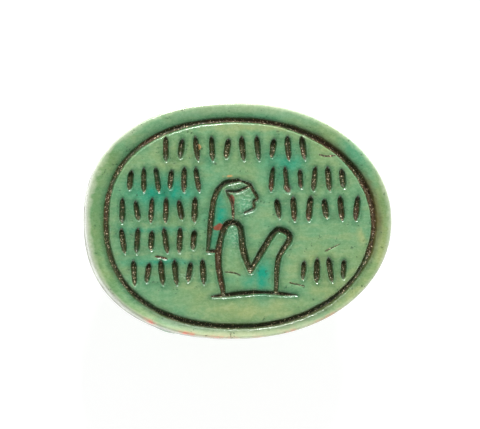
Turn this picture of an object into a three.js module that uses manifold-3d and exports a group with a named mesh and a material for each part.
// A glazed steatite scarab amulet, in millimetres, +Z up. It lies on the beetle's back, so that the flat seal face
// looks up. The beetle's head is at -X. It is carved from one piece of stone, so it is one solid.
import * as THREE from "three";
import { mergeVertices } from "three/addons/utils/BufferGeometryUtils.js";
import Module from "manifold-3d";

const wasm = await Module();
wasm.setup();

// Driving sizes. A depth is measured from the seal face, at z = HEIGHT, down towards the beetle's back, at z = 0.
// A share is a part of the oval outline's size: 0 in the middle and 1 at the plate's edge.
const LENGTH = 18.0;
const WIDTH = 13.7;
const HEIGHT = 8.0;
const BLUNT_END = 2.33; // exponent of the outline's curve at the head, where it is squarer
const FINE_END = 2.03; // and at the tail, where it is nearly an ellipse
const PLATE = 1.75; // thickness of the base plate
const PLATE_EDGE = 0.35; // radius of its rounded edges
const FLANK = 0.92; // share of the flank behind the legs
const DOME_FOOT = 0.9; // share at which the back rises from the flank
const DOME_FOOT_DEPTH = 3.7;
const REST_SPOT = 0.24; // share of the worn flat on the back
const THREAD_RADIUS = 0.75; // the hole for the thread, from end to end
const THREAD_DEPTH = 2.95;

const COLLAR_X = [-5.5, -3.6]; // front of the prothorax on the long axis, at its foot and at its crest
const COLLAR_RADIUS = 4.8; // radius of its hollow curve at the foot
const NECK_DEPTH = 3.05; // the floor in front of it, under the head
const WING_X = -1.7; // front of the wing cases on the long axis
const WING_MARGIN = 0.81; // share of the line along their edges

const BORDER = 0.875; // size of the line round the seal face, as a share of the outline
const BORDER_MIDDLE = [0.03, -0.17]; // it was cut a little off the middle
const LINE = 0.19; // half the width of the seal's lines
const FINE_LINE = 0.12;
const STROKE_LINE = 0.17;
const LONG_STROKE = 0.5; // half the height of a row's strokes
const SHORT_STROKE = 0.34;
const STROKE_LEAN = 0.09; // how far a stroke's ends lean at most
const STROKE_PITCH = 0.86; // about the distance between strokes
const STROKE_ROWS = [ // each row's middle line and the x of its first and last stroke
  [4.15, -4.3, 3.8],
  [2.35, -6.4, -2.5],
  [2.35, 1.9, 6.1],
  [0.6, -6.9, -2.7],
  [0.6, 2.2, 6.9],
  [-1.15, -6.9, -2.8],
  [-3.0, -6.3, -2.3],
  [-3.0, 3.6, 6.0],
];
const CUT = 1.35; // a line's depth over its half width

const SEGMENTS = 72; // round the outline
const TURN = 2 * Math.PI;

// ---- Solids ----

// The closed solid of a geometry: only positions are kept, equal ones are merged, and collapsed faces are dropped.
function solidOf(geometry) {
  const bare = geometry.index ? geometry.toNonIndexed() : geometry.clone();
  bare.deleteAttribute("normal");
  bare.deleteAttribute("uv");
  const merged = mergeVertices(bare, 1e-4);
  const corners = merged.index.array;
  const kept = [];
  for (let i = 0; i < corners.length; i += 3) {
    const [a, b, c] = [corners[i], corners[i + 1], corners[i + 2]];
    if (a !== b && b !== c && c !== a) kept.push(a, b, c);
  }
  return new wasm.Manifold(
    new wasm.Mesh({
      numProp: 3,
      vertProperties: merged.attributes.position.array,
      triVerts: new Uint32Array(kept),
    }),
  );
}

// Moves every vertex of a geometry by a function from point to point.
function reshape(geometry, move) {
  const place = geometry.attributes.position;
  const point = new THREE.Vector3();
  for (let i = 0; i < place.count; i++) {
    point.fromBufferAttribute(place, i);
    const moved = move(point);
    place.setXYZ(i, moved.x, moved.y, moved.z);
  }
  return geometry;
}

// A bar along a curve, with flat ends and a section of equal sides.
function bar(curve, radius, steps, sides = 6) {
  const section = new THREE.Shape();
  for (let i = 0; i < sides; i++) {
    const turn = (i / sides) * TURN;
    section[i ? "lineTo" : "moveTo"](radius * Math.cos(turn), radius * Math.sin(turn));
  }
  return new THREE.ExtrudeGeometry(section, { steps, extrudePath: curve });
}

// An egg or ball, by its half sizes, at a place given by x, y and depth.
function egg([x, y, depth], [rx, ry, rz], around = 16) {
  return solidOf(
    new THREE.SphereGeometry(1, around, around / 2).scale(rx, ry, rz).translate(x, y, HEIGHT - depth),
  );
}

const joined = (solids) => solids.reduce((whole, next) => whole.add(next));
const carved = (solid, tools) => tools.reduce((left, tool) => left.subtract(tool), solid);
const bothSides = (make) => [1, -1].flatMap((side) => make(side));

// ---- The oval outline and the dome of the back ----

const endShape = (x) => (x < 0 ? BLUNT_END : FINE_END);

// The point of the outline at a turn from +X, drawn in to a share of its size.
function outline(turn, share = 1) {
  const [c, s] = [Math.cos(turn), Math.sin(turn)];
  const power = 2 / endShape(c);
  return new THREE.Vector2(
    (LENGTH / 2) * share * Math.sign(c) * Math.abs(c) ** power,
    (WIDTH / 2) * share * Math.sign(s) * Math.abs(s) ** power,
  );
}

// The share on which a point lies.
function shareAt(x, y) {
  const n = endShape(x);
  return (Math.abs((2 * x) / LENGTH) ** n + Math.abs((2 * y) / WIDTH) ** n) ** (1 / n);
}

// How far from the long axis a share of the outline runs at a station x.
function halfWidthAt(x, share) {
  const n = endShape(x);
  return (WIDTH / 2) * share * (1 - Math.abs((2 * x) / (LENGTH * share)) ** n) ** (1 / n);
}

// The dome is a quarter of an ellipse from its foot to the middle, flattened at the rest spot.
const DOME_RISE = (HEIGHT - DOME_FOOT_DEPTH) / Math.sqrt(1 - (REST_SPOT / DOME_FOOT) ** 2);
const domeDepth = (share) =>
  Math.min(HEIGHT, DOME_FOOT_DEPTH + DOME_RISE * Math.sqrt(Math.max(0, 1 - (share / DOME_FOOT) ** 2)));
const onDome = (x, y) => new THREE.Vector3(x, y, HEIGHT - domeDepth(shareAt(x, y)));

// ---- The body: plate, flank and dome are one turned profile of shares and depths, stretched onto the oval ----

function body() {
  const rounding = (2 * PLATE_EDGE) / WIDTH;
  const edgeSteps = 3;
  const domeSteps = 11;
  const profile = [new THREE.Vector2(0, 0)];
  for (let i = 0; i <= edgeSteps; i++) {
    const a = ((i / edgeSteps) * TURN) / 4;
    profile.push(new THREE.Vector2(1 - rounding * (1 - Math.sin(a)), PLATE_EDGE * (1 - Math.cos(a))));
  }
  profile.push(
    new THREE.Vector2(1, PLATE - PLATE_EDGE),
    new THREE.Vector2(0.985, PLATE - 0.1),
    new THREE.Vector2(FLANK, PLATE + 0.1),
    new THREE.Vector2(FLANK + 0.015, DOME_FOOT_DEPTH - 0.9),
  );
  for (let i = 0; i <= domeSteps; i++) {
    const share = DOME_FOOT * Math.cos((i / domeSteps) * Math.acos(REST_SPOT / DOME_FOOT));
    profile.push(new THREE.Vector2(share, domeDepth(share)));
  }
  profile.push(new THREE.Vector2(0, HEIGHT));
  const turned = new THREE.LatheGeometry(profile.reverse(), SEGMENTS).rotateX(TURN / 4);
  return solidOf(
    reshape(turned, (p) => {
      const rim = outline(Math.atan2(p.y, p.x), Math.hypot(p.x, p.y));
      return new THREE.Vector3(rim.x, rim.y, HEIGHT - p.z);
    }),
  );
}

// ---- The beetle's head, in the hollow in front of the prothorax ----

function neckHollow() {
  const tall = HEIGHT - NECK_DEPTH;
  const widening = COLLAR_X[1] - COLLAR_X[0];
  const drum = new THREE.CylinderGeometry(COLLAR_RADIUS, COLLAR_RADIUS + widening, tall, 40);
  return solidOf(drum.rotateX(TURN / 4).translate(COLLAR_X[0] - COLLAR_RADIUS, 0, tall / 2));
}

// The clypeus is a fan with rounded teeth, which slopes from the head down to its front edge.
function clypeus() {
  const [radius, notch, teeth, spread] = [2.15, 0.3, 5, (150 / 360) * TURN];
  const [rootX, rootDepth, frontDepth] = [-6.15, 4.9, 3.65];
  const steps = teeth * 6;
  const fan = new THREE.Shape();
  fan.moveTo(0.9, -1.5);
  fan.lineTo(0.9, 1.5);
  for (let i = 0; i <= steps; i++) {
    const turn = TURN / 2 + (i / steps - 0.5) * spread;
    const tooth = Math.abs(Math.sin((i / steps) * teeth * (TURN / 2)));
    const r = radius - notch * (1 - tooth ** 0.6);
    fan.lineTo(r * Math.cos(turn), r * Math.sin(turn));
  }
  const fanSolid = new THREE.ExtrudeGeometry(fan, { depth: 1, bevelEnabled: false });
  const slope = (rootDepth - frontDepth) / radius;
  return solidOf(
    reshape(fanSolid, (p) => {
      const depth = p.z < 0.5 ? rootDepth + slope * Math.min(0, p.x) : NECK_DEPTH - 0.4;
      return new THREE.Vector3(rootX + p.x, p.y, HEIGHT - depth);
    }),
  );
}

function head() {
  const crown = egg([-5.75, 0, 3.9], [1.5, 1.75, 1.85]);
  const cheeks = bothSides((side) => [egg([-6.15, side * 2.3, 3.5], [1.1, 0.95, 1.15], 12)]);
  return joined([clypeus(), crown, ...cheeks]);
}

// ---- Legs: each runs along the flank from hip to knee to foot, by stations x and depths ----

const LEGS = [
  { hip: [-3.0, 4.15], knee: [-4.9, 3.05], foot: [-7.9, 2.6] },
  { hip: [-1.9, 4.15], knee: [1.0, 3.3], foot: [3.6, 2.2] },
  { hip: [1.7, 4.15], knee: [4.7, 3.3], foot: [7.6, 2.25] },
];
const THIGH = 0.55; // radius near the hip
const SHIN = 0.34; // and near the foot

// A limb swells from its root and tapers to its tip.
const girth = (t) => 0.1 + (THIGH + (SHIN - THIGH) * t) * Math.sqrt(Math.sin((TURN / 2) * t ** 0.6));

function limb(curve, steps) {
  const middles = curve.getSpacedPoints(steps);
  const nearest = (p) =>
    middles.reduce((best, m, i) => (p.distanceTo(m) < p.distanceTo(middles[best]) ? i : best), 0);
  return reshape(bar(curve, 0.1, steps, 8), (p) => {
    const i = nearest(p);
    return p.clone().sub(middles[i]).multiplyScalar(girth(i / steps) / 0.1).add(middles[i]);
  });
}

function legs() {
  return LEGS.flatMap(({ hip, knee, foot }) =>
    bothSides((side) => {
      const at = ([x, depth]) => new THREE.Vector3(x, side * halfWidthAt(x, FLANK - 0.012), HEIGHT - depth);
      const between = (p, q) => [(p[0] + q[0]) / 2, (p[1] + q[1]) / 2];
      const route = [hip, between(hip, knee), knee, between(knee, foot), foot].map(at);
      return [solidOf(limb(new THREE.CatmullRomCurve3(route), 9))];
    }),
  );
}

// ---- Lines on the back: the front of the wing cases, the seam between them and their margins ----

const BACK_LINE = 0.15;

function wingFront() {
  const [reach, bow, steps] = [0.86, 0.9, 14];
  const points = [];
  for (let i = 0; i <= steps; i++) {
    const y = (2 * (i / steps) - 1) * reach * (WIDTH / 2);
    points.push(onDome(WING_X - bow * ((2 * y) / WIDTH) ** 2, y));
  }
  return solidOf(bar(new THREE.CatmullRomCurve3(points), BACK_LINE, 20, 4));
}

function wingSeam() {
  const steps = 10;
  const [from, to] = [WING_X, (LENGTH / 2) * WING_MARGIN];
  const points = [];
  for (let i = 0; i <= steps; i++) points.push(onDome(from + (to - from) * Math.sin(((i / steps) * TURN) / 4), 0));
  return solidOf(bar(new THREE.CatmullRomCurve3(points), BACK_LINE, 16, 4));
}

function wingMargin() {
  const steps = 24;
  const reach = (96 / 360) * TURN;
  const points = [];
  for (let i = 0; i <= steps; i++) {
    const rim = outline((2 * (i / steps) - 1) * reach, WING_MARGIN);
    points.push(onDome(rim.x, rim.y));
  }
  return solidOf(bar(new THREE.CatmullRomCurve3(points), BACK_LINE, 40, 4));
}

// A pair of short lines at each shoulder, which meet in a point.
function shoulderMarks() {
  return bothSides((side) =>
    [3.0, 4.3].map((y) => {
      const ends = [onDome(WING_X - 0.1, side * y), onDome(WING_X + 1.5, side * 3.75)];
      return solidOf(bar(new THREE.LineCurve3(...ends), BACK_LINE, 1, 4));
    }),
  );
}

const threadHole = () =>
  solidOf(
    new THREE.CylinderGeometry(THREAD_RADIUS, THREAD_RADIUS, LENGTH + 2, 16)
      .rotateZ(TURN / 4)
      .translate(0, 0, HEIGHT - THREAD_DEPTH),
  );

// ---- The seal face: lines cut to CUT times their half width ----

// Deepens a round bar whose middle lies in the seal face.
const deepened = (geometry) =>
  solidOf(reshape(geometry, (p) => new THREE.Vector3(p.x, p.y, HEIGHT + (p.z - HEIGHT) * CUT)));

// A line through points of the seal face, smooth where there are more than two.
function line(points, half = LINE) {
  const path = new THREE.CatmullRomCurve3(points.map(([x, y]) => new THREE.Vector3(x, y, HEIGHT)));
  return deepened(bar(path, half, Math.max(1, Math.ceil((points.length - 1) * 1.5))));
}

// A straight stroke with round ends.
function stroke([x0, y0], [x1, y1], half = LINE) {
  const capsule = new THREE.CapsuleGeometry(half, Math.hypot(x1 - x0, y1 - y0), 2, 8);
  capsule.rotateZ(Math.atan2(y1 - y0, x1 - x0) - TURN / 4);
  return deepened(capsule.translate((x0 + x1) / 2, (y0 + y1) / 2, HEIGHT));
}

// A closed line that follows a function from turn to point.
function loop(at, steps, half = LINE) {
  const torus = new THREE.TorusGeometry(1, half, 6, steps);
  const step = 1e-3;
  return deepened(
    reshape(torus, (p) => {
      const turn = Math.atan2(p.y, p.x);
      const out = Math.hypot(p.x, p.y) - 1;
      const here = at(turn);
      const along = at(turn + step).sub(at(turn - step)).normalize();
      return new THREE.Vector3(here.x + out * along.y, here.y - out * along.x, HEIGHT + p.z);
    }),
  );
}

const border = () => [loop((turn) => outline(turn, BORDER).add(new THREE.Vector2(...BORDER_MIDDLE)), SEGMENTS)];

// Rows of short strokes in the inscription's place. They are no letters. Those of a row lean and shorten by turns.
function strokeRows() {
  return STROKE_ROWS.flatMap(([y, from, to], row) => {
    const steps = Math.round((to - from) / STROKE_PITCH);
    return Array.from({ length: steps + 1 }, (_, i) => {
      const x = from + ((to - from) * i) / steps;
      const tall = (i + row) % 3 === 1 ? SHORT_STROKE : LONG_STROKE;
      const lean = STROKE_LEAN * Math.sin(2 * i + row);
      return stroke([x - lean, y - tall], [x + lean, y + tall], STROKE_LINE);
    });
  });
}

// A seated figure with its knees drawn up, in outline.
function figure() {
  const hair = [
    line([[-0.1, 2.3], [-0.95, 2.1], [-1.5, 1.35], [-1.75, 0], [-2.0, -1.8]]),
    stroke([-2.0, -1.8], [-1.45, -1.8], FINE_LINE),
    line([[-0.85, 1.7], [-0.5, 1.0], [-0.45, 0]], FINE_LINE),
  ];
  const face = [
    line([[-0.1, 2.3], [0.55, 2.05], [0.75, 1.7], [1.0, 1.25], [0.78, 1.05], [0.75, 0.65], [0.2, 0.4]], FINE_LINE),
    line([[-0.85, 1.7], [-0.2, 1.65], [0.55, 1.95]], FINE_LINE),
  ];
  const robe = [
    line([[-1.15, -4.2], [-1.4, -2.2], [-1.0, -0.5], [-0.5, -0.15], [-0.05, -0.5], [0.1, -1.8], [0.47, -2.98]]),
    line([[0.47, -2.98], [1.75, -1.0], [2.3, -0.6], [2.85, -1.1], [2.15, -2.3], [1.95, -4.2]]),
  ];
  return [...hair, ...face, ...robe, line([[-1.85, -4.42], [0.8, -4.22], [3.15, -4.42]])];
}

function scarab() {
  const back = [wingFront(), wingSeam(), wingMargin(), ...shoulderMarks()];
  const beetle = carved(body(), [neckHollow(), ...back]);
  const whole = carved(joined([beetle, head(), ...legs()]), [threadHole()]);
  const seal = [...border(), ...strokeRows(), ...figure()];
  return carved(whole, seal);
}

// ---- The part ----

const shape = scarab().getMesh();
const geometry = new THREE.BufferGeometry();
geometry.setAttribute("position", new THREE.BufferAttribute(shape.vertProperties, 3));
geometry.setIndex(new THREE.BufferAttribute(shape.triVerts, 1));

const glaze = new THREE.MeshStandardMaterial({ color: 0x8fb488, roughness: 0.35, metalness: 0 });
const amulet = new THREE.Mesh(geometry, glaze);
amulet.name = "scarab";

const part = new THREE.Group();
part.add(amulet);
export default part;
